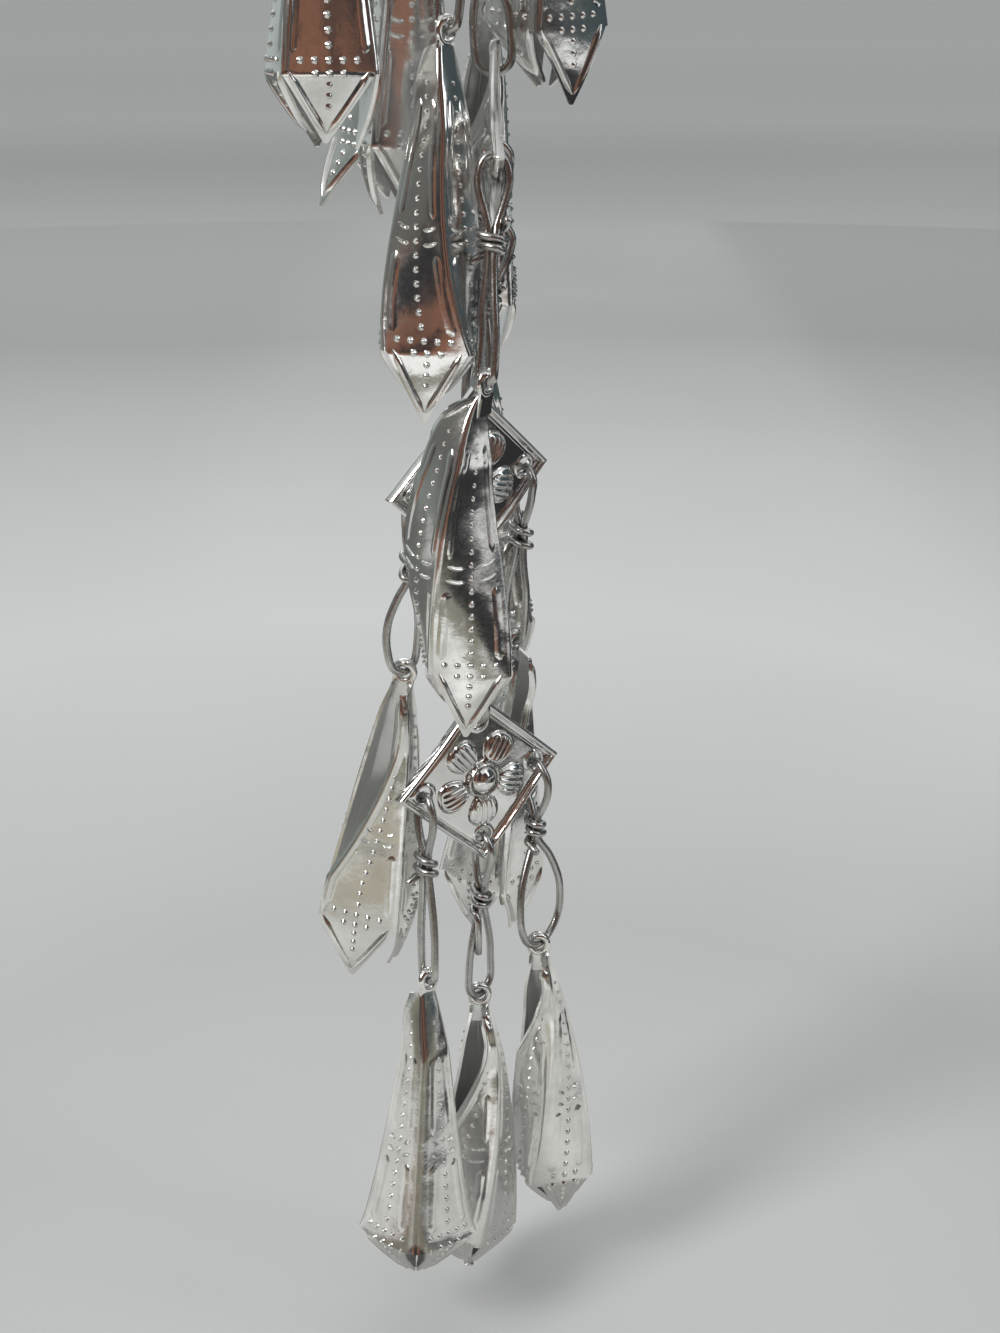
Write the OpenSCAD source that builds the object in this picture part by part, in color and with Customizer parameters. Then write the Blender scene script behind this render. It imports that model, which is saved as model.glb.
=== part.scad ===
// Tassel hairpin of thin silver sheet and wire, hanging from its two-pronged pin.
// Millimetres. The origin is between the two prongs, where they leave the head plate.
// The prongs point along +Y into the hair, and the tassel hangs down with its flowers facing -Y.

/* [Hollow drops] */
// Depth of a drop's shoulder below the middle of its ear hole
shoulder_s = 24.0; // [23:0.1:26]
// Length of the four tips below the shoulder
tip_l = 5.8; // [5.4:0.1:6.2]
// Width of one of a drop's four panels at the shoulder
panel_w = 7.5; // [7:0.1:8]
// Width of a panel at the top of the drop
panel_top_w = 2.2; // [2:0.1:2.4]
// Width of the bevelled fold between two panels
fold_w = 0.55; // [0.45:0.05:0.7]
// Thickness of the drops' sheet
sheet_t = 0.3; // [0.25:0.05:0.35]
// Width of the ear at the top of a drop
ear_w = 2.6; // [2.5:0.1:3]
// Radius of the hole in an ear
ear_hole_r = 0.75; // [0.7:0.05:0.8]

/* [Square plates] */
// Side of a plate
plate_w = 11.8; // [11.4:0.1:11.8]
// Thickness of a plate
plate_t = 0.4; // [0.3:0.05:0.5]
// Height of the raised rim above the plate's face
rim_h = 0.45; // [0.3:0.05:0.5]
// Width of the raised rim
rim_w = 0.5; // [0.4:0.05:0.6]
// Distance of a corner hole's middle from the middle of its plate
corner_at = 5.75; // [5.6:0.05:5.9]
// Radius of a corner hole
corner_hole_r = 0.75; // [0.7:0.05:0.8]
// Distance of a petal's middle from the flower's middle
petal_at = 3.05; // [3:0.05:3.1]
// Length of a petal
petal_l = 3.2; // [3:0.1:3.3]
// Width of a petal
petal_w = 2.9; // [2.4:0.1:3]
// Height of a petal above the plate's face
petal_h = 0.5; // [0.3:0.05:0.6]
// Radius of the flower's domed middle
boss_r = 1.5; // [1.45:0.05:1.6]

/* [Wire links] */
// Radius of the links' wire
wire_r = 0.35; // [0.3:0.05:0.35]
// Length of a link's upper loop
upper_l = 5.4; // [5:0.1:6]
// Height of one wrapped turn
wrap_pitch = 1.1; // [1:0.05:1.3]

/* [Head and pin] */
// Width of the head plate
head_w = 28; // [27:1:32]
// Depth of the head plate
head_d = 24; // [23:1:26]
// Thickness of the head plate
head_t = 1.6; // [1.2:0.1:2]
// Radius of an eyelet, to its wire's middle
eyelet_r = 1.15; // [1.1:0.05:1.3]
// Radius of an eyelet's wire
eyelet_wire_r = 0.45; // [0.35:0.05:0.5]
// Length of a prong
prong_l = 70; // [60:1:90]
// Distance between the prongs' middles
prong_gap = 12; // [10:1:14]
// Radius of a prong
prong_r = 1; // [0.9:0.1:1.2]

/* [Hidden] */
$fn = 32;
lap = 0.08; // how far fused wires and plates sink into each other
seam_gap = 0.15; // between the closing panel and the panel that it closes on
body_s = 1.2; // depth at which the folded body starts
blunt_w = 0.3; // width of a tip's blunt end
lip_w = 0.4; // width of the closing panel's hem beside the open seam
wire_sides = 6;
root_l = 0.5; // length of a prong's root outside the head plate

fold_cut = fold_w / sqrt(2);
inner_cut = fold_cut - (2 - sqrt(2)) * sheet_t;
root_r = min(0.8 * prong_r, head_t / 2 - 0.1);

// Where each plate's middle is, and how it is turned about X, Y and Z
PLATES = [
    // x, y, z, turns about x, y and z
    [2.6, -12, -26.0, 0, 0, 80],
    [3.65, -12, -53.1, 0, 0, -90],
    [1.6, -11.6, -80.5, 9, -4, 37],
    [2.3, -11.4, -107.8, 3, -4, 32]
];

// Where each drop's ear hole is, how far its tips lean, how its body is turned, and its shape.
// Fullness 1 gives straight sides, more swells them and less hollows them. Breadth is the panels' share of the
// usual width. The closing panel reaches its full width at the closing depth, and the four tips are bent inwards.
// The turn is even where its ease is 1 and sets in lower down where that is more. The bow pushes the body along X
DROPS = [
    // x, y, z, lean x, lean y, turn at the ear, turn at the shoulder, fullness, breadth, closing depth,
    // bends of the left, back, right and front tips, ease, bow
    [-9.2, -17.6, -23.0, -0.3, -0.8, 16, 16, 1.1, 1, 13, [32, 14, 10, 28], 1, 0],
    [-4.75, -2.4, -29.5, -0.6, 1.2, 32, 30, 1, 1, 13, [-30, 32, 10, 5], 1, 0],
    [-2.9, -9.6, -28.9, -0.5, -0.2, 12, 12, 1, 0.95, 13, [12, 12, 8, 20], 1, 0],
    [7.9, -11.0, -19.9, -0.3, 3.1, 36, 36, 1, 0.98, 13, [38, 30, 30, 0], 1, 0],
    [-0.05, -17.2, -44.0, -1.97, 0.4, -130, -90, 1, 0.96, 13, [10, 34, 10, 34], 3, 0],
    [3.2, -3.4, -42.9, -2.2, 6.0, 0, 0, 1, 1, 13, [8, 8, 8, 8], 1, 0],
    [2.95, -20.0, -70.4, -2.0, 2.8, 236, 184, 1.9, 0.93, 13, [30, 3, 30, 25], 1.3, -2.1],
    [2.6, -3.6, -71.4, 0.3, 3.0, 0, 8, 1, 1, 13, [8, 8, 8, 8], 1, 0],
    [-4.2, -13.4, -97.0, -4.65, 3.1, -14, -12, 1.2, 1, 20, [14, 8, 10, 6], 1, 0],
    [5.3, -6.4, -96.6, -2.5, 3.6, 57, 57, 1, 1, 13, [14, 14, 10, 10], 1, 0],
    [-2.4, -16.8, -125.2, -1.4, -4.2, -135, -135, 0.78, 1.12, 13, [42, 42, 42, 42], 1, 0],
    [2.15, -10.8, -129.9, -1.2, -2.5, 0, -34, 1.5, 0.9, 14, [40, 40, 40, 40], 1, 0.5],
    [7.6, -10.2, -125.0, 2.2, 0, -5, -78, 1.15, 0.85, 11, [36, 34, 30, 36], 1, 0.2]
];

// Eyelets under the head plate, and the way the wire passes through each
EYELETS = [
    // x, y, z, turn of the wire's way through
    [-9.2, -16.8, -4.5, 100],
    [-5.0, -4.2, -10.5, 120],
    [-1.8, -8.8, -9.5, 105],
    [7.5, -12.4, -5.0, 120],
    [2.5, -12.2, -4.5, 80]
];

// Corners of a plate, as directions in it
LEFT = [-1, 0, 0];
RIGHT = [1, 0, 0];
TOP = [0, 0, 1];
BOTTOM = [0, 0, -1];

// What each link joins, and its lower loop
LINKS = [
    // upper plate or 0, its corner or the eyelet, lower plate or 0, lower drop or 0,
    // half widths of the upper and the lower loop, extra turn of the lower loop
    [0, 1, 0, 1, 1.3, 1.0, 0],
    [0, 2, 0, 2, 1.3, 1.0, 0],
    [0, 3, 0, 3, 1.3, 1.0, 0],
    [0, 4, 0, 4, 1.3, 1.0, 0],
    [0, 5, 1, 0, 1.3, 1.4, 0],
    [1, LEFT, 0, 5, 1.45, 1.1, 0],
    [1, RIGHT, 0, 6, 1.3, 1.0, 0],
    [1, BOTTOM, 2, 0, 1.5, 1.5, 0],
    [2, RIGHT, 0, 7, 1.15, 1.1, -25],
    [2, LEFT, 0, 8, 1.3, 1.0, 0],
    [2, BOTTOM, 3, 0, 1.5, 1.5, 0],
    [3, LEFT, 0, 9, 1.3, 1.35, -30],
    [3, RIGHT, 0, 10, 1.3, 1.0, 0],
    [3, BOTTOM, 4, 0, 1.5, 1.5, 0],
    [4, LEFT, 0, 11, 1.3, 0.9, 0],
    [4, BOTTOM, 0, 12, 1.4, 1.7, -36],
    [4, RIGHT, 0, 13, 1.5, 2.6, -33]
];

// Rows of a drop's body: depth below the ear hole, and share of the closing panel that is there
closing_s = 2.6;
function rows(full_s) = [
    [body_s, 0],
    [closing_s, 0],
    [(closing_s + full_s) / 2, 0.5],
    [full_s, 1],
    [(full_s + shoulder_s) / 2, 1],
    [shoulder_s, 1]
];

function unit(v) = v / norm(v);
function about_x(p, a) = [p.x, p.y * cos(a) - p.z * sin(a), p.y * sin(a) + p.z * cos(a)];
function about_y(p, a) = [p.x * cos(a) + p.z * sin(a), p.y, p.z * cos(a) - p.x * sin(a)];
function about_z(p, a) = [p.x * cos(a) - p.y * sin(a), p.x * sin(a) + p.y * cos(a), p.z];

function place(row) = [row[0], row[1], row[2]];

function plate_hole(i, corner) =
    let (row = PLATES[i - 1])
    place(row) + about_z(about_y(about_x(corner_at * corner, row[3]), row[4]), row[5]);

// The two triangles of a four-sided face
function quad(a, b, c, d) = [[a, b, c], [a, c, d]];

// A wire along a path. Each reference vector fixes how its ring of points is turned
function wire_points(path, refs, closed) =
    let (n = len(path))
    [for (i = [0 : n - 1])
        let (
            before = closed ? (i + n - 1) % n : max(i - 1, 0),
            after = closed ? (i + 1) % n : min(i + 1, n - 1),
            t = unit(path[after] - path[before]),
            m = unit(refs[i] - (refs[i] * t) * t),
            w = cross(t, m)
        )
        for (j = [0 : wire_sides - 1])
            let (a = 360 * j / wire_sides)
            path[i] + wire_r * (cos(a) * m + sin(a) * w)
    ];

function wire_faces(n, closed) =
    let (k = wire_sides)
    [
        for (i = [0 : closed ? n - 1 : n - 2], j = [0 : k - 1])
            let (up = (i + 1) % n, side = (j + 1) % k)
            each quad(i * k + j, up * k + j, up * k + side, i * k + side),
        if (!closed) [for (j = [0 : k - 1]) j],
        if (!closed) [for (j = [k - 1 : -1 : 0]) (n - 1) * k + j]
    ];

module wire(path, refs, closed) {
    polyhedron(wire_points(path, refs, closed), wire_faces(len(path), closed), convexity = 8);
}

// Half of a loop's outline from its round bend to the waist: half width and depth
function loop_outline(w, l) = [
    for (a = [35, 70]) [w * sin(a), 1.1 * w * (1 - cos(a))],
    [w, 0.35 * l],
    [0.88 * w, 0.58 * l],
    [0.55 * w, 0.82 * l]
];

// A link hangs straight down from the middle of its upper bend. Its length, the half widths of its loops,
// and the turns of the two loops
module link_shape(length, upper_w, lower_w, upper_turn, lower_turn) {
    waist_w = wire_r + 0.03;
    waist_l = 2 * wrap_pitch;
    lower_loop = loop_outline(lower_w, length - upper_l - waist_l);
    // Half of the wire's outline from top to bottom: half width, depth, turn
    half = [
        for (q = loop_outline(upper_w, upper_l)) [q[0], q[1], upper_turn],
        for (f = [0 : 0.5 : 1]) [waist_w, upper_l + f * waist_l, upper_turn + f * (lower_turn - upper_turn)],
        for (i = [len(lower_loop) - 1 : -1 : 0]) [lower_loop[i][0], length - lower_loop[i][1], lower_turn]
    ];
    there = [for (h = half) about_z([h[0], 0, -h[1]], h[2])];
    back = [for (i = [len(half) - 1 : -1 : 0]) about_z([-half[i][0], 0, -half[i][1]], half[i][2])];
    turns = [for (h = half) h[2]];
    all_turns = [
        upper_turn,
        each turns,
        lower_turn,
        for (i = [len(turns) - 1 : -1 : 0]) turns[i]
    ];
    wire(
        [[0, 0, 0], each there, [0, 0, -length], each back],
        [for (a = all_turns) about_z([0, 1, 0], a)],
        true
    );

    // The wrapped turns and their cut ends
    long_r = waist_w + 2 * wire_r - lap;
    short_r = 2 * wire_r - lap;
    steps = 16;
    coil = [
        for (i = [0 : steps])
            let (f = i / steps, a = 720 * f, turn = upper_turn + f * (lower_turn - upper_turn))
            about_z([long_r * cos(a), short_r * sin(a), -upper_l - f * waist_l], turn)
    ];
    radial = [for (p = coil) unit([p.x, p.y, 0])];
    end_l = 1.1;
    first_end = coil[0] + end_l * unit(coil[0] - coil[1]) + [0, 0, 0.3];
    last_end = coil[steps] + end_l * unit(coil[steps] - coil[steps - 1]) - [0, 0, 0.3];
    wire([first_end, each coil, last_end], [radial[0], each radial, radial[steps]], false);
}

// Brings the lower loop's turn within a quarter turn of the upper one's
function near_turn(a, b) = a - 180 * round((a - b) / 180);

module link(i) {
    row = LINKS[i - 1];
    upper = row[0] > 0 ? plate_hole(row[0], row[1]) : place(EYELETS[row[1] - 1]);
    upper_turn = row[0] > 0 ? PLATES[row[0] - 1][5] + 90 : EYELETS[row[1] - 1][3];
    lower = row[2] > 0 ? plate_hole(row[2], TOP) : place(DROPS[row[3] - 1]);
    lower_turn = (row[2] > 0 ? PLATES[row[2] - 1][5] : DROPS[row[3] - 1][5]) + 90 + row[6];
    d = lower - upper;
    bearing = atan2(d.y, d.x);
    tilt = acos(-d.z / norm(d));
    color("silver")
        translate(upper)
        rotate([0, 0, bearing])
        rotate([0, -tilt, 0])
        rotate([0, 0, -bearing])
        link_shape(norm(d), row[4], row[5], upper_turn, near_turn(lower_turn, upper_turn));
}

// Half the body's width at a depth below the ear hole
function half_width(s, fullness, breadth) =
    let (f = (s - body_s) / (shoulder_s - body_s))
    (breadth * panel_w - (breadth * panel_w - panel_top_w) * pow(1 - f, fullness)) / 2;

// The body starts under the ear's own sheet and centres itself further down
function body_shift(s) =
    -(panel_top_w - sheet_t) / 2 * max(0, 1 - (s - body_s) / 6);

// One row of the folded sheet from the left panel's free edge round to the closing panel's free edge
function sheet_row(half, cut, outer_half, share) =
    let (
        seam_y = -(outer_half - sheet_t - seam_gap),
        closing_x = outer_half - fold_cut - max(lip_w, share * (2 * outer_half - fold_cut))
    )
    [
        [-half, seam_y],
        [-half, half - cut],
        [-half + cut, half],
        [half - cut, half],
        [half, half - cut],
        [half, -half + cut],
        [half - cut, -half],
        [closing_x, -half]
    ];

function body_points(turn, shoulder_turn, fullness, breadth, full_s, ease, bow) = [
    for (row = rows(full_s))
        let (
            s = row[0],
            a = half_width(s, fullness, breadth),
            f = (s - body_s) / (shoulder_s - body_s),
            w = turn + (shoulder_turn - turn) * pow(f, ease),
            shift = [bow * sin(180 * pow(f, 0.75)), 0, 0],
            outer = sheet_row(a, fold_cut, a, row[1]),
            inner = sheet_row(a - sheet_t, inner_cut, a, row[1])
        )
        each [for (p = [each outer, each inner]) shift + about_z([p[0], p[1] + body_shift(s), -s], w)]
];

// The four tips' ends: the left, back, right and front panel in turn, two outer points and two inner ones each
function tip_points(turn, breadth, bends) = [
    for (j = [0 : 3])
        let (
            out = breadth * panel_w / 2 - tip_l * sin(bends[j]),
            down = shoulder_s + tip_l * cos(bends[j])
        )
        for (y = [out, out - sheet_t], x = [-blunt_w / 2, blunt_w / 2])
            about_z([x, y, -down], turn + 90 - 90 * j)
];

function body_faces() =
    let (k = 8, n_rows = 6, last = 2 * k * (n_rows - 1), tips = 2 * k * n_rows)
    [
        // Outer and inner walls
        for (r = [0 : n_rows - 2], i = [0 : k - 2])
            let (o = 2 * k * r + i, n = o + 2 * k)
            each concat(quad(o, n, n + 1, o + 1), quad(o + k, o + k + 1, n + k + 1, n + k)),
        // Top edge, and the lower ends of the three folds
        for (i = [0 : k - 2]) each quad(i, i + 1, i + k + 1, i + k),
        for (i = [1 : 2 : k - 3]) each quad(last + i, last + i + k, last + i + k + 1, last + i + 1),
        // The two free edges
        for (r = [0 : n_rows - 2])
            let (o = 2 * k * r, n = o + 2 * k)
            each concat(quad(o, o + k, n + k, n), quad(o + 2 * k - 1, o + k - 1, n + k - 1, n + 2 * k - 1)),
        // The four tips
        for (j = [0 : 3])
            let (o = last + 2 * j, i = o + k, e = tips + 4 * j, f = e + 2)
            each concat(
                quad(o, e, e + 1, o + 1),
                quad(i, i + 1, f + 1, f),
                quad(o, i, f, e),
                quad(i + 1, o + 1, e + 1, f + 1),
                quad(e, f, f + 1, e + 1)
            )
    ];

module ear() {
    rotate([90, 0, 0])
        translate([0, 0, -sheet_t / 2 - 0.02])
        linear_extrude(sheet_t + 0.04)
        difference() {
            union() {
                circle(ear_w / 2);
                translate([-ear_w / 2, -body_s - 1])
                    square([ear_w, body_s + 1]);
            }
            circle(ear_hole_r);
        }
}

module drop(i) {
    row = DROPS[i - 1];
    lean = [row[3], row[4], -sqrt(pow(shoulder_s + tip_l, 2) - pow(row[3], 2) - pow(row[4], 2))];
    bearing = atan2(lean.y, lean.x);
    tilt = acos(-lean.z / norm(lean));
    color("gainsboro")
        translate(place(row))
        rotate([0, 0, bearing])
        rotate([0, -tilt, 0])
        rotate([0, 0, -bearing])
        union() {
            polyhedron(
                [
                    each body_points(row[5], row[6], row[7], row[8], row[9], row[11], row[12]),
                    each tip_points(row[6], row[8], row[10])
                ],
                body_faces(),
                convexity = 10
            );
            rotate([0, 0, row[5]])
                ear();
        }
}

// A petal's oval outline, pointing outwards along X
function petal_outline() = [
    for (a = [0 : 22.5 : 337.5])
        [petal_at + petal_l / 2 * cos(a), petal_w / 2 * sin(a) * (1 + 0.15 * cos(a))]
];

module petal() {
    rib_w = 0.22;
    rib_count = 4;
    linear_extrude(petal_h)
        polygon(petal_outline());
    // Radial ribs on the petal
    for (k = [0 : rib_count - 1]) {
        a = (k - (rib_count - 1) / 2) * 9;
        rotate([0, 0, a])
            translate([petal_at - petal_l * 0.36, -rib_w / 2, petal_h - lap])
            cube([petal_l * 0.72, rib_w, 0.15 + lap]);
    }
}

module flower() {
    for (k = [0 : 4])
        rotate([0, 0, 90 + 72 * k])
            petal();
    // The domed middle in its ring
    dome_r = 1.7;
    linear_extrude(petal_h * 0.6)
        circle(boss_r);
    intersection() {
        translate([0, 0, petal_h + 0.65 - dome_r])
            sphere(dome_r);
        linear_extrude(3)
            circle(boss_r - 0.15);
    }
}

module plate(i) {
    row = PLATES[i - 1];
    color("silver")
        translate(place(row))
        rotate([row[3], row[4], row[5]])
        rotate([90, 0, 0])
        rotate([0, 0, 45])
        difference() {
            union() {
                translate([-plate_w / 2, -plate_w / 2, -plate_t / 2])
                    cube([plate_w, plate_w, plate_t]);
                // Raised rim
                difference() {
                    translate([-plate_w / 2, -plate_w / 2, 0])
                        cube([plate_w, plate_w, plate_t / 2 + rim_h]);
                    translate([rim_w - plate_w / 2, rim_w - plate_w / 2, -1])
                        cube([plate_w - 2 * rim_w, plate_w - 2 * rim_w, 4]);
                }
                rotate([0, 0, -45])
                    translate([0, 0, plate_t / 2 - lap])
                    flower();
            }
            for (k = [0 : 3])
                rotate([0, 0, 45 + 90 * k])
                    translate([corner_at, 0, -2])
                    cylinder(r = corner_hole_r, h = 4);
        }
}

// A wire staple under the head plate, with its hole's middle at the row's place
module eyelet(row) {
    translate(place(row))
        rotate([0, 0, row[3] - 90]) {
            rotate([-90, 0, 0])
                rotate_extrude(angle = 180)
                translate([eyelet_r, 0])
                circle(eyelet_wire_r);
            for (side = [-1, 1])
                translate([side * eyelet_r, 0, 0])
                    cylinder(r = eyelet_wire_r, h = -row[2] - head_t / 2 + lap);
        }
}

// A prong, with a thinner root that ends inside the head plate
module prong() {
    rotate([-90, 0, 0])
        rotate_extrude()
        polygon([
            [0, -3],
            [root_r, -3],
            [root_r, root_l],
            [prong_r, root_l],
            [prong_r, prong_l - 9],
            [0.8 * prong_r, prong_l - 3],
            [0.45 * prong_r, prong_l - 0.4],
            [0, prong_l]
        ]);
}

module hairpin() {
    color("silver") {
        translate([0, -head_d / 2, -head_t / 2])
            linear_extrude(head_t)
            union() {
                square([head_w - head_d, head_d], center = true);
                for (side = [-1, 1])
                    translate([side * (head_w - head_d) / 2, 0])
                        circle(head_d / 2);
            }
        for (side = [-1, 1])
            translate([side * prong_gap / 2, 0, 0])
                prong();
        for (row = EYELETS)
            eyelet(row);
    }
}

hairpin();
for (i = [1 : len(PLATES)])
    plate(i);
for (i = [1 : len(DROPS)])
    drop(i);
for (i = [1 : len(LINKS)])
    link(i);
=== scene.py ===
"""Looks of the tassel hairpin: stamped sheet drops, flower plates, wire links, silver, light and camera.

The part's sizes are in millimetres in its own frame, and only its finished meshes are in metres.
The floor, the lights and the room about it are in metres.
"""

import math
import random
from collections import namedtuple

import bpy
import numpy as np
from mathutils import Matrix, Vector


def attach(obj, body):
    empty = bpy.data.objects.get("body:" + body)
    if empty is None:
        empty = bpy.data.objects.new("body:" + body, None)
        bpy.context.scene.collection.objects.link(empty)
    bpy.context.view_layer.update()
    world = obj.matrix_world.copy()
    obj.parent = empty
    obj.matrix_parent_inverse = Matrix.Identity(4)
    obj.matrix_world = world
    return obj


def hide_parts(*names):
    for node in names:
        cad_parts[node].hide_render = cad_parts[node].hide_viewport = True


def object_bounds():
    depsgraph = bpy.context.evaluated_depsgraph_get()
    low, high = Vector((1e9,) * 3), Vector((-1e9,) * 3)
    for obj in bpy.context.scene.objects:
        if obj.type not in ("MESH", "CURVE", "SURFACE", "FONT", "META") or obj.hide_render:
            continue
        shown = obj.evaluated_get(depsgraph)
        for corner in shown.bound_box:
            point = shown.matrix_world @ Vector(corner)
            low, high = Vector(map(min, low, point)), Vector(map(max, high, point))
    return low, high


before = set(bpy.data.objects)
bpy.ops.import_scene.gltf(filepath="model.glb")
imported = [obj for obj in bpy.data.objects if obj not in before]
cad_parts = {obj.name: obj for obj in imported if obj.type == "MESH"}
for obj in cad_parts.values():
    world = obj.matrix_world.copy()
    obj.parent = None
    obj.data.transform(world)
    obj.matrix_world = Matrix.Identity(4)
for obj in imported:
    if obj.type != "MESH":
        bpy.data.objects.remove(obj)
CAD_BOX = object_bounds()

MM = 0.001

# Hollow drops. Depths end in _S and are measured down from the ear's hole
BODY_S = 0.75
SHOULDER_S = 24.0
TIP_L = 5.8
PANEL_W = 7.5
PANEL_TOP_W = 2.2
SHEET_T = 0.26
FOLD_CUT = 0.55 / math.sqrt(2)  # taken off a panel by the fold beside it
BLUNT_W = 0.3  # width of a tip's end
SEAM_Y_GAP = 0.45  # keeps the left panel off the free edge of the front one
CLOSING_S = 2.6  # where the front panel starts to widen from its narrow lip
LIP_W = 0.4
LEFT_PANEL, BACK_PANEL, RIGHT_PANEL, FRONT_PANEL = range(4)

# The body's top narrows and slopes down to its front, and moves back until the back panel is under the ear
DOME_S = 4.2
DOME_NARROWING = 0.2
DOME_SLOPE = 0.8
TOP_SHIFT = (PANEL_TOP_W - 0.3) / 2
TOP_SHIFT_S = 6

# Heights of the worn sheet's forms
CROWN_H = 0.22
DENT_H = 0.045
TIP_SWELL_H = 0.22
PINCH_H = 0.07
PINCH_S = 1.3

# Points of the sheet: across a panel and a fold as shares of their widths, and down the body and the tips
PANEL_COLUMNS = np.array([0, 0.04, 0.12, 0.22, 0.33, 0.44, 0.56, 0.67, 0.78, 0.88, 0.96, 1])
FOLD_STEPS = (0.25, 0.5, 0.75)
BODY_ROWS = np.concatenate([
    [BODY_S, BODY_S + 0.25, BODY_S + 0.5],
    np.arange(BODY_S + 0.85, SHOULDER_S - 0.5, 0.5),
    [SHOULDER_S - 0.35, SHOULDER_S],
])
TIP_ROWS = SHOULDER_S + TIP_L * np.array([0.05, 0.14, 0.26, 0.38, 0.5, 0.62, 0.74, 0.86, 1])

# The drop's ear, thickest at its top, and the neck below it: depth, half width and half thickness
EAR_HOLE_R = 0.52
EAR_R = 1.25
EAR_NARROWING = 0.08
EAR_HALF_T = 0.28
EAR_TOP_HALF_T = 0.26  # added at the top
EAR_TOP_SPREAD = 0.75  # in radians
NECK = ((0.65, 0.98, 0.26), (1.0, 0.98, 0.24), (1.45, 0.96, 0.2), (2.0, 0.96, 0.15), (2.7, 0.98, 0.1))

# Dots that are stamped into each panel. The profile gives a dot's rings as shares of its radius and height
DOT_PITCH = 1.07
DOT_R = 0.26
DOT_H = 0.22
DOT_PROFILE = ((1.25, -0.12), (1.0, 0.06), (0.72, 0.42), (0.42, 0.8), (0.16, 0.97))
DOT_SIDES = 9
DOT_MARGIN = 0.35
DOTS_S = 3.3
CLOSING_DOTS_S = CLOSING_S + 1.6
ROW_S = SHOULDER_S - 1.0
TIP_ROW_S = ROW_S + 0.98
TIP_DOT_PITCH = 0.9

# Raised lines: width and height. The profile gives a line's section as shares of them
LINE_PROFILE = (
    (-0.62, -0.25), (-0.45, 0.12), (-0.22, 0.82), (0, 1), (0.22, 0.82), (0.45, 0.12), (0.62, -0.25),
)
UPPER_BORDER = (0.6, 0.07)
LOWER_BORDER = (0.8, 0.09)
BAR = (0.34, 0.22)
TIP_RIM = (0.6, 0.32)
HEM = (0.8, 0.3)
INNER_RIB = (0.3, 0.12)
INNER_RIB_X = 0.4
BORDERS_S = 5.0
CLOSING_BORDERS_S = CLOSING_S + 3.4
BARS_S = (14.6, 15.75)

# Square plates
PLATE_W = 11.8
PLATE_T = 0.4
PLATE_CELLS = (90, 90, 150, 150)  # along a side: the two lower plates show their fronts
PLATE_BOW = (0.008, 0.004)
RIM_H = 0.45
RIM_W = 0.55
GROOVE_H = 0.1
GROOVE_W = 0.16
GROOVE_AT = 0.18  # beyond the rim
CORNER_AT = 5.75
CORNER_HOLE_R = 0.75
HOLE_LIP_H = 0.13
HOLE_LIP_W = 0.13
HOLE_LIP_AT = 0.16  # beyond the hole's edge
PLATE_HOLES = ((CORNER_AT, 0), (-CORNER_AT, 0), (0, CORNER_AT), (0, -CORNER_AT))

# The plate's flower
PETALS = 5
PETAL_AT = 3.05
PETAL_L = 3.2
PETAL_W = 3.05
PETAL_H = 0.62
PETAL_FLARE = 0.22
RIB_H = 0.2
RIB_PITCH = 0.56
BOSS_R = 1.5
BOSS_H = 1.12
BOSS_RING_H = 0.62
BOSS_RING_W = 0.17

# Wire links: a loop at either end, and wrapped turns about the waist between them
WIRE_R = 0.35
WRAP_WIRE_R = 0.94 * WIRE_R
UPPER_L = 5.4
WAIST_L = 2.2
WAIST_W = WIRE_R + 0.03
WRAP_OUT_W = WAIST_W + 2 * WIRE_R - 0.05
WRAP_OUT_D = 2 * WIRE_R - 0.05
WOBBLE = 0.07
CHAMFER = 0.28  # of a cut end, as a share of the wire's radius
CUT_L = 1.1  # length of a wire end that is cut off short

# Tones of the seen floor by their distance from its middle: painted light and shade, with a darker ring
# about the foot as a painted shadow and a brighter far floor that makes up for the lights' falloff
FLOOR_PAINTED_LIGHT_TONES = (
    (0.0, 0.6), (0.075, 0.51), (0.19, 0.66), (0.3, 0.6), (0.5, 0.43), (0.9, 0.55), (1.4, 0.86), (2.6, 0.97),
)
FLOOR_R = 9.0
# Radius of the glowing disc that paints the lit floor's reflection in the metal
MIRRORED_FLOOR_R = 0.8
FLOOR_GAP = 0.003  # under the lowest tip

# The low glowing screen in front, a painted reflection which only the metal mirrors: its distance, edges'
# heights and bearings in degrees
SCREEN_R = 0.12
SCREEN_Z = (-0.146, -0.126)
SCREEN_BEARINGS = (-85, 75)

# Colours of the room that the metal mirrors
BROWN = (0.24, 0.115, 0.075)
DARK = (0.03, 0.03, 0.032)
DARK_TEAL = (0.055, 0.072, 0.078)
GREY = (0.13, 0.128, 0.12)
GREY_GREEN = (0.22, 0.245, 0.235)
PALE = (0.42, 0.46, 0.45)
CEILING = (0.8, 0.81, 0.8)
ZENITH = (0.55, 0.56, 0.56)

# Sides of the room beside its brown and dark front: bearings where each begins and is full, and its tone
ROOM_SIDES = (
    (-50, -66, GREY), (-80, -100, GREY_GREEN), (60, 80, DARK_TEAL), (150, 165, PALE), (-120, -145, PALE),
)

# What the camera sees beyond the floor, the light that the room throws on the floor, degrees in a radian,
# and the place that the lights face
BEHIND = (0.4, 0.4, 0.395)
FLOOR_LIGHT = (0.35, 0.35, 0.35)
DEGREES = 57.3
TASSEL_MIDDLE = (0.0, -0.012, -0.09)

# The photograph's view: place in millimetres, degrees down from level, and focal length for a 36 mm sensor
CAMERA_AT = (4.05, -176, -38)
CAMERA_DOWN = 19.8
CAMERA_LENS = 54.01

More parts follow.
